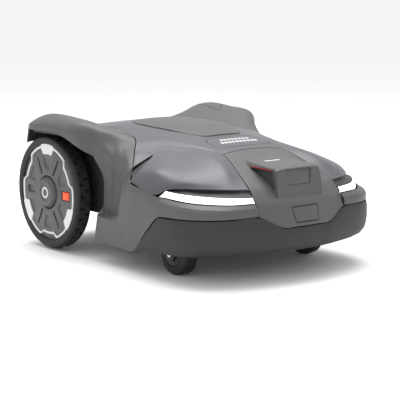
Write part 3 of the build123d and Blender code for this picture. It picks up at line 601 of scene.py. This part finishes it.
BUMPER = [
    [(0, -378.5, 118), (0, -380.5, 109), (0, -380.5, 95), (0, -378, 80), (0, -371, 70)],
    [(63, -373.5, 118), (63.5, -376.5, 109), (64, -377, 95), (63, -374, 80), (62, -367, 70)],
    [(122, -358, 145), (124, -362.5, 134), (124.5, -363.5, 106), (123, -361, 82), (121, -354, 70)],
    [(186, -343.5, 144), (189, -345, 133), (190, -343, 105), (188, -340, 82), (184, -333, 69.5)],
    [(231, -313.5, 143), (231, -317, 132), (230, -318, 105), (227, -315, 82), (222, -308, 69)],
    [(247, -291, 142.5), (249, -292, 131), (250, -291, 104), (247, -289, 80), (241, -284, 67)],
    [(258, -255, 141), (260.5, -254, 130), (260.5, -252, 102), (257, -250, 77), (251, -247, 64)],
    [(264, -215, 139), (265, -206, 127), (264, -190, 103), (261, -165, 76), (255, -140, 57)],
    [(265, -198, 138), (264.5, -184, 125.5), (263.5, -158, 103), (260.5, -128, 76.5), (255, -93, 46.5)],
]


def build_bumper():
    """Soft front bumper below the body's lower line."""
    bumper = sheet("front_bumper_panel", [patch(BUMPER, corners=(1,), across_corners=(1,))])
    finish(thicken(bumper), "shell", "bumper_plastic", "front_bumper")


LAMP_HIGH = [(121, -337, 184), (150, -329.5, 185), (176, -320, 186.5), (207, -294, 188.5), (231, -259, 190.5),
             (240, -217, 191.5), (243, -199, 193)]
LAMP_LOW = [(121, -344, 172.4), (152, -338, 172.6), (180, -329.5, 173), (215, -294, 173.4), (239, -260, 176),
            (248.5, -205, 179), (254, -190, 180)]
BAND_HIGH = [(117, -318, 198.5), (146, -309, 199.5), (170, -298, 200.5), (202, -270, 201), (222, -236, 199.5),
             (232, -208, 197), (238, -200, 195.5)]


def build_lamps():
    """Lit strips under the bulges, and the dark band above them."""
    high, low, top = vectors([LAMP_HIGH, LAMP_LOW, BAND_HIGH])
    middle = [(a + b) / 2 + Vector((1.2, -1.6, 0)) for a, b in zip(high, low)]
    lens = sheet("headlight_lens_strips", [loft([curve(row) for row in (high, middle, low)], 3)], seam=0.6)
    finish(thicken(lens, 2.0, 0.4), "shell", "lamp_lens", "headlight_lenses")
    hollow = [(a + b) / 2 + Vector((-5, 5, 1)) for a, b in zip(high, top)]
    band = sheet("headlight_band", [loft([curve(row) for row in (top, hollow, high)], 3)], seam=0)
    finish(thicken(band, 1.5, 0.3), "shell", "dark_plastic")


NOSE = [
    DECK[0],
    [(0, -222, 247), (33, -222, 247), (62, -222, 247.3), (91, -222, 247)],
    [(0, -262, 229), (35, -262, 229), (66, -262, 229.5), (101, -260, 230)],
    [(0, -298, 212), (38, -298, 212), (74, -297, 212.5), (110, -295, 213)],
    [(0, -330, 195), (40, -329, 195.5), (78, -326, 197), (117, -322, 198)],
    [(0, -362, 167), (40, -360, 168), (80, -355, 170), (120, -345, 171.5)],
    [(0, -378, 118.5), (32, -376.5, 118.5), (63, -373, 118.5), (121, -356, 146)],
]
HOUSING = [  # (y, half width of the top, height of the top, half width and height of the foot)
    (-199, 52, 252, 96, 236), (-222, 54, 248.6, 84, 232), (-248, 57, 243.4, 74, 214),
    (-290, 59, 240.6, 66, 190), (-334, 60, 239, 63, 160),
]
HOUSING_FRONT = [(60, -341, 236), (62, -352, 178), (62, -352, 160)]
UPPER_COVER = rounded([(-37, 235), (37, 235), (32, 202), (-32, 202)], 4)
LOWER_COVER = rounded([(-37, 160), (37, 160), (32, 126), (-32, 126)], 3)
UPPER_FACE = (-341, 236, 0.19)
LOWER_FACE = (-362.5, 165, 0.335)
COVERS = (("nose_cover_upper", UPPER_COVER, UPPER_FACE, 0.4, 3.2),  # name, outline, face, gap and depth
          ("nose_cover_lower", LOWER_COVER, LOWER_FACE, 2.0, 1.0))
POCKET = [(-252, 233), (-329, 232.5), (-336, 196), (-331, 186)]
POCKET_CUT = (50, 90)
STRIP = [(-256, 233.5), (-327, 232.8), (-327, 235.2), (-256, 236.2)]
STRIP_FACES = (57, 60.6)
EMBLEM = rounded([(-21, -262), (21, -262), (21, -250), (-21, -250)], 5.5)
EMBLEM_HEIGHTS = (240, 243.9)


def on_face(name, outline, face, near, far):
    """Block behind a sloping face: (y at the top, height of the top, slope), between two depths."""
    top_y, top_z, slope = face
    block = prism(name, outline, 0, far - near, "Y")
    for vert in block.data.vertices:
        vert.co.y += (top_y + near) * MM - (top_z * MM - vert.co.z) * slope
    return block


def housing_block():
    """Raised sensor housing: its top grows out of the panel and ends in an upright front."""
    loops = []
    for y, top, high, foot, low in HOUSING:
        half = [(0, y, high + 1), (top * 0.6, y, high + 0.6), (top - 3, y, high), (top, y, high - 2.5),
                ((top * 2 + foot) / 3, y, (high + low) / 2), (foot, y, low), (0, y, low)]
        loops.append(half)
    (top, y_top, high), (wide, y_low, low), (_, _, foot) = HOUSING_FRONT
    loops.append([(0, y_top + 1, high + 1.5), (top * 0.6, y_top + 1, high + 1), (top - 3, y_top, high - 0.5),
                  (top, y_top, high - 3), (wide, (y_top + y_low) / 2, (high + low) / 2),
                  (wide, y_low, foot), (0, y_low, foot)])
    bm = bmesh.new()
    rings = []
    for loop in loops:
        ring = loop + [(-x, y, z) for x, y, z in reversed(loop) if x > 0]
        rings.append([bm.verts.new(Vector(point) * MM) for point in ring])
    for near, far in zip(rings, rings[1:]):
        for i in range(len(near)):
            j = (i + 1) % len(near)
            bm.faces.new((near[i], near[j], far[j], far[i]))
    bm.faces.new(rings[0])
    bm.faces.new(rings[-1])
    bmesh.ops.triangulate(bm, faces=bm.faces)
    bmesh.ops.recalc_face_normals(bm, faces=bm.faces)
    return piece("nose_housing", bm)


def build_nose():
    """Nose panel with its sensor housing, two recessed covers, two coloured strips and a plain emblem bar."""
    nose = thicken(sheet("nose_panel_shell", [patch(NOSE, corners=(5,))]), bevel=0)
    box = housing_block()
    for side, _ in SIDES:
        combine(box, prism("cutter", POCKET, *POCKET_CUT, "X", side))
    combine(nose, box, "UNION")
    for outline, face in ((UPPER_COVER, UPPER_FACE), (LOWER_COVER, LOWER_FACE)):
        combine(nose, on_face("cutter", outline, face, -30, 4.5))
    soften(nose, 1.2)
    finish(nose, "shell", "grey_plastic", "nose_panel")
    for name, outline, face, gap, depth in COVERS:
        cover = soften(on_face(name, grown(outline, -gap), face, depth, 5.2), 0.6)
        finish(cover, "shell", "grey_plastic", *(["nose_covers"] if name.endswith("upper") else []))
    for side, name in SIDES:
        strip = prism(f"nose_strip_{name}", STRIP, *STRIP_FACES, "X", side)
        finish(soften(strip, 0.4), "shell", "stop_red")
    plain = prism("nose_emblem_bar", EMBLEM, *EMBLEM_HEIGHTS)
    finish(soften(plain, 0.6), "shell", "silver_trim")


FRAME_CORNER = [(168, -215), (225, -215), (240, -160), (240, 20), (205, 20), (160, -60)]
SLIT_WALL = [
    [(180, -60, 246), (207, -57, 233.5), (234, -54, 220)],
    [(181, -70, 248), (210, -70, 235), (240, -70, 217)],
    [(181, -80, 244), (214, -93, 227), (254, -92, 195)],
]
FRAME_CUT = (226, 262)
UNDER_DECK = 4.5  # the trimmed tray keeps this far below the surface of the deck
TRAY_CUT = 40  # thickness of the block that trims it


def trimmed(node, cutters, slot):
    """Copy of a hidden part with the places cut away that would stand out of the panels above it."""
    source = frame["nodes"][node]
    item = bpy.data.objects.new(f"{node}_trimmed", source.data.copy())
    item.matrix_world = source.matrix_world
    bpy.context.scene.collection.objects.link(item)
    for cutter in cutters:
        combine(item, cutter)
    finish(item, "shell", slot, node)


def build_hidden():
    """Shell frame cut clear of the bulges, and control tray cut clear of the deck and the lid."""
    corners = [prism("cutter", FRAME_CORNER, *FRAME_CUT, "Z", side) for side, _ in SIDES]
    trimmed("shell_frame", corners, "dark_plastic")
    trimmed("control_tray", [deck_sheet("cutter", UNDER_DECK - TRAY_CUT, TRAY_CUT)], "dark_plastic")


def build_slit_walls():
    """Dark walls that close the slits behind the bulges."""
    wall = sheet("slit_walls", [patch(SLIT_WALL)], seam=0)
    finish(thicken(wall, 1.2, bevel=0), "shell", "dark_plastic")


# scale and drop of the dark inner skin; under the fenders it is painted shade
SHADE_LINER_SCALE = (0.972, 0.976)
SHADE_LINER_DROP = 4.5


def build_liner_and_painted_shade():
    """Dark inner skin behind the joint lines, which also paints the shade inside the fenders: outer surfaces
    scaled and lowered.
    """
    grids = [patch(BUMPER), skirt_front(), patch(NOSE), patch(BLISTER), patch(SHOULDER), patch(FENDER)]
    shade_liner = sheet("shell_liner_painted_shade", grids, seam=0)
    for vert in shade_liner.data.vertices:
        place = vert.co
        vert.co = (place.x * SHADE_LINER_SCALE[0], place.y * SHADE_LINER_SCALE[1], place.z - SHADE_LINER_DROP * MM)
    # dark_plastic here is painted shade under the fenders; behind the joint lines it is the dark interior
    finish(thicken(shade_liner, 1.0, bevel=0), "shell", "dark_plastic")


# ---- rear wheels --------------------------------------------------------------------------------
TREAD_R = 132.0
TYRE_IN = 220.0
TYRE_OUT = 264.0
LUGS = 30
GROOVE_DEPTH = 5.0
GROOVES = ((230, 240, 0.05, 0.2), (244, 254, 0.55, 0.7))  # along X from and to, and within a lug's pitch
GROOVE_WALL = 0.4
TYRE_EDGES = [(TYRE_IN + 2, 112.5), (TYRE_IN, 122), (TYRE_IN + 4, 129), (TYRE_IN + 9, TREAD_R)]
TYRE_FACE = [(TYRE_OUT - 5, TREAD_R - 1), (TYRE_OUT - 1, 128), (TYRE_OUT, 122), (TYRE_OUT - 1, 116),
             (TYRE_OUT - 4, 112.5)]
TREAD_SPOTS = (0.0, 0.06, 0.18, 0.24, 0.5, 0.56, 0.68, 0.74)
STUDS = ((235, 0.65), (249, 0.1))  # X, and place within a lug's pitch
STUD_PROFILE = ((-1, 2.6), (2.4, 1.7), (2.8, 1.2))  # height over the tread, radius
STUD_SIDES = 8


def build_tyre(side, name):
    """Tyre with two staggered rows of bar grooves and a stud on every bar."""
    bm = bmesh.new()
    section = list(TYRE_EDGES)
    for low, high, _, _ in GROOVES:
        section += [(x, TREAD_R) for x in (low - GROOVE_WALL, low, high, high + GROOVE_WALL)]
    section += TYRE_FACE
    pitch = 2 * math.pi / LUGS
    rings = []
    for lug in range(LUGS):
        for spot in TREAD_SPOTS:
            angle = (lug + spot) * pitch
            ring = []
            for across, radius in section:
                cut = any(low <= across <= high and start < spot < end for low, high, start, end in GROOVES)
                r = radius - (GROOVE_DEPTH if cut else 0.0)
                place = (across * side, AXLE_Y + r * math.sin(angle), WHEEL_Z + r * math.cos(angle))
                ring.append(bm.verts.new(Vector(place) * MM))
            rings.append(ring)
    for near, far in zip(rings, rings[1:] + rings[:1]):
        for i in range(len(section)):
            j = (i + 1) % len(section)
            bm.faces.new((near[i], near[j], far[j], far[i]))
    for lug in range(LUGS):
        for across, spot in STUDS:
            angle = (lug + spot) * pitch
            ring = []
            for height, width in STUD_PROFILE:
                loop = []
                for turn in range(STUD_SIDES):
                    t = turn * math.pi / (STUD_SIDES / 2)
                    x = across + width * math.cos(t)
                    along = angle + width * math.sin(t) / TREAD_R
                    r = TREAD_R + height
                    place = (x * side, AXLE_Y + r * math.sin(along), WHEEL_Z + r * math.cos(along))
                    loop.append(bm.verts.new(Vector(place) * MM))
                ring.append(loop)
            for near, far in zip(ring, ring[1:]):
                for i in range(STUD_SIDES):
                    j = (i + 1) % STUD_SIDES
                    bm.faces.new((near[i], near[j], far[j], far[i]))
            bm.faces.new(ring[-1])
            bm.faces.new(ring[0])
    bmesh.ops.recalc_face_normals(bm, faces=bm.faces)
    tyre = bake(piece(f"studded_tyre_{name}", bm), 30)
    finish(tyre, f"rear_wheel_{name}", "tyre_rubber", f"rear_tyre_{name}")


def clock(hours, radius, side_step=0.0):
    """(Y, Z) of a point on the wheel's face at an hour; the mower's front is at three o'clock."""
    angle = math.radians(hours * 30)
    y = AXLE_Y - radius * math.sin(angle) - side_step * math.cos(angle)
    z = WHEEL_Z + radius * math.cos(angle) - side_step * math.sin(angle)
    return (y, z)


def bar(hours, near, far, half, taper=0.0):
    """Outline of a radial bar at an hour."""
    return [clock(hours, near, -half), clock(hours, near, half), clock(hours, far, half + taper),
            clock(hours, far, -half - taper)]


TRIM_STEPS = 240
TRIM_BACK = 256
TRIM_EDGE = 260.2
TRIM_FACE = 261.2


def ring_radius(hours):
    """(inner, outer) radius of the silver trim at an hour."""
    to_pad = abs((hours + 2) % 4 - 2) * 30  # degrees from 12, 4 or 8 o'clock
    to_dip = abs(hours % 4 - 2) * 30  # degrees from 2, 6 or 10 o'clock
    if to_pad < 15:
        reach = min(1.0, (15 - to_pad) / 3.5)
        return 106.5 - 17 * reach, 112.0 + 3.5 * reach
    dip = 12 * max(0.0, min(1.0, (19 - to_dip) / 6))
    return 105.5 - dip, 111.0 - dip


def build_trim(side, name):
    """Silver ring with three broad pads and three inward steps."""
    bm = bmesh.new()
    rings = []
    for step in range(TRIM_STEPS):
        hours = step * 12 / TRIM_STEPS
        inner, outer = ring_radius(hours)
        section = ((TRIM_BACK, inner), (TRIM_EDGE, inner), (TRIM_FACE, inner + 1), (TRIM_FACE, outer - 1),
                   (TRIM_EDGE, outer), (TRIM_BACK, outer))
        loop = []
        for x, radius in section:
            y, z = clock(hours, radius)
            loop.append(bm.verts.new(Vector((x * side, y, z)) * MM))
        rings.append(loop)
    for near, far in zip(rings, rings[1:] + rings[:1]):
        for i in range(len(near)):
            j = (i + 1) % len(near)
            bm.faces.new((near[i], near[j], far[j], far[i]))
    bmesh.ops.recalc_face_normals(bm, faces=bm.faces)
    ring = bake(piece(f"silver_ring_{name}", bm), 35)
    finish(ring, f"rear_wheel_{name}", "silver_trim", f"trim_ring_{name}")


COVER_PROFILE = [(222, 108), (222, 112.3), (257, 112.3), (258, 104), (259.5, 96), (261, 46), (261, 40),
                 (254, 38), (254, 0), (212, 0), (212, 24), (252, 24), (252, 100), (240, 108)]
BOSS_PROFILE = [(252, 0), (252, 37), (262, 36), (268, 32.5), (269.4, 30), (269.4, 21), (267.5, 19.5),
                (267.5, 0)]
RING_PROFILE = [(266, 9), (266, 13.5), (268.4, 13.5), (269, 12.8), (269, 9.7), (268.4, 9)]
SLOT_HOURS = (1, 5, 7, 11)
SLOT_FLOOR = 252.8
POCKET_FLOOR = 255.5
FACET_HOURS = (2, 4, 6, 8, 10, 12)
FACET_FLOOR = 258.4
FACE_CUT = 270  # outer end of the cutters in the wheel's face
TAB_FACES = (254, 261.5)


def build_cover(side, name):
    """Wheel cover with four slots, two pockets and six facets, and its hub boss, hub ring and lock tab."""
    body = f"rear_wheel_{name}"
    axle = (0, AXLE_Y, WHEEL_Z)
    cover = turned(f"wheel_cover_{name}", COVER_PROFILE, axle, side, 120)
    cuts = [(bar(hours, 48, 92, 2.6), SLOT_FLOOR) for hours in SLOT_HOURS]
    cuts += [(bar(9, 56, 90, 8.5), POCKET_FLOOR), (bar(3, 60, 92, 11), POCKET_FLOOR)]
    for outline, floor in cuts:
        combine(cover, prism("cutter", rounded(outline, 2.5, 3), floor, FACE_CUT, "X", side))
    for hours in FACET_HOURS:
        facet = [clock(hours, 56, -9), clock(hours, 56, 9), clock(hours, 84, 19), clock(hours, 84, -19)]
        combine(cover, prism("cutter", rounded(facet, 4, 3), FACET_FLOOR, FACE_CUT, "X", side))
    soften(cover, 1.0)
    finish(cover, body, "wheel_plastic", f"wheel_rim_{name}")
    boss = turned(f"hub_boss_{name}", BOSS_PROFILE, axle, side, 72)
    soften(boss, 0.8)
    finish(boss, body, "wheel_plastic")
    ring = turned(f"hub_ring_{name}", RING_PROFILE, axle, side, 64)
    soften(ring, 0.4)
    finish(ring, body, "silver_trim", f"hub_cap_{name}")
    tab = prism(f"lock_lever_{name}", rounded(bar(3, 66, 91, 9), 2, 3), *TAB_FACES, "X", side)
    soften(tab, 1.0)
    finish(tab, body, "orange_plastic", f"lock_tab_{name}")


# ---- casters ------------------------------------------------------------------------------------
CASTER = (183.0, -165.0, 48.0)
CASTER_TYRE = [(0, 48), (8, 47.8), (8.6, 46.4), (10, 46.4), (10.6, 47.4), (15, 46), (18.5, 42), (20, 36),
               (19.6, 29), (17.5, 28), (17.5, 4.4)]
CASTER_DISC = [(17.4, 5), (17.4, 27.6), (18.8, 27.6), (19.8, 26), (19, 14), (19.8, 11), (19.8, 5)]
DISC_HOLES = 5
DISC_HOLE_R = 2.6
DISC_HOLE_RING = 20  # radius of the circle that the holes lie on
DISC_HOLE_FLOOR = 18.2
DISC_HOLE_DEPTH = 4


def build_caster(side, name):
    """Caster wheel: grooved black tyre with a dark disc in each side."""
    origin = (side * CASTER[0], CASTER[1], CASTER[2])
    body = f"caster_wheel_{name}"
    section = CASTER_TYRE + [(-x, r) for x, r in reversed(CASTER_TYRE) if x > 0]
    tyre = turned(f"caster_tyre_{name}", section, origin, 1, 72)
    finish(bake(tyre, 30), body, "tyre_rubber", f"caster_wheel_{name}")
    for end in (-1, 1):
        place = "outer" if end == side else "inner"
        disc = turned(f"caster_disc_{name}_{place}", CASTER_DISC, origin, end, 48)
        start = side * CASTER[0] + end * DISC_HOLE_FLOOR
        cut = sorted((start, start + end * DISC_HOLE_DEPTH))
        for turn in range(DISC_HOLES):
            angle = 2 * math.pi * turn / DISC_HOLES
            y = origin[1] + DISC_HOLE_RING * math.sin(angle)
            z = origin[2] + DISC_HOLE_RING * math.cos(angle)
            combine(disc, prism("cutter", circle(y, z, DISC_HOLE_R, 16), *cut, "X"))
        soften(disc, 0.4)
        finish(disc, body, "dark_plastic")


# ---- studio -------------------------------------------------------------------------------------


def lamp(name, place, target, size, power):
    """Soft rectangular light aimed at a point."""
    data = bpy.data.lights.new(name, "AREA")
    data.shape = "SQUARE"
    data.size = size
    data.energy = power
    light = bpy.data.objects.new(name, data)
    light.location = place
    light.rotation_euler = (Vector(target) - Vector(place)).to_track_quat("-Z", "Y").to_euler()
    bpy.context.scene.collection.objects.link(light)


def build_studio():
    """White floor and surroundings, one overhead light and a weak fill from the front."""
    bm = bmesh.new()
    bmesh.ops.create_grid(bm, x_segments=1, y_segments=1, size=30)
    floor = piece("studio_floor", bm)
    floor.location.z = -0.0006  # just under the tyres
    white = material("studio_white", (0.9, 0.9, 0.9), 0.9, spread=0.004, bump=0.0)
    floor.data.materials.append(white)
    world = bpy.data.worlds.new("studio")
    world.use_nodes = True
    world.node_tree.nodes["Background"].inputs["Color"].default_value = (1, 1, 1, 1)
    world.node_tree.nodes["Background"].inputs["Strength"].default_value = 1.0
    bpy.context.scene.world = world
    bpy.context.scene.view_settings.view_transform = "Standard"
    lamp("overhead", (0.3, 0.4, 2.6), (0, 0, 0.2), 2.2, 75)
    lamp("front_fill", (-2.4, -2.2, 1.5), (0, 0, 0.15), 1.6, 8)


def build_camera():
    """Camera ahead and to the right of the mower; its numbers were solved from the photo's mirror pairs."""
    azimuth, elevation, distance = math.radians(-37.529), math.radians(8.997), 3.161
    target = Vector((0, 0.0309, 0.1473))
    away = Vector((math.sin(azimuth) * math.cos(elevation), -math.cos(azimuth) * math.cos(elevation),
                   math.sin(elevation)))
    data = bpy.data.cameras.new("camera")
    data.lens = 121.53
    data.sensor_width = 36
    data.shift_x = 0.0226
    data.shift_y = -0.0307
    camera = bpy.data.objects.new("camera", data)
    camera.location = target + away * distance
    camera.rotation_euler = (-away).to_track_quat("-Z", "Y").to_euler()
    bpy.context.scene.collection.objects.link(camera)
    bpy.context.scene.camera = camera


build_hood()
build_badge()
build_lid()
build_stop()
build_skirt()
build_fender_lids()
build_arches()
build_bumper()
build_lamps()
build_nose()
build_hidden()
build_slit_walls()
build_liner_and_painted_shade()
for side, name in SIDES:
    build_tyre(side, name)
    build_trim(side, name)
    build_cover(side, name)
    build_caster(side, name)
build_studio()
build_camera()
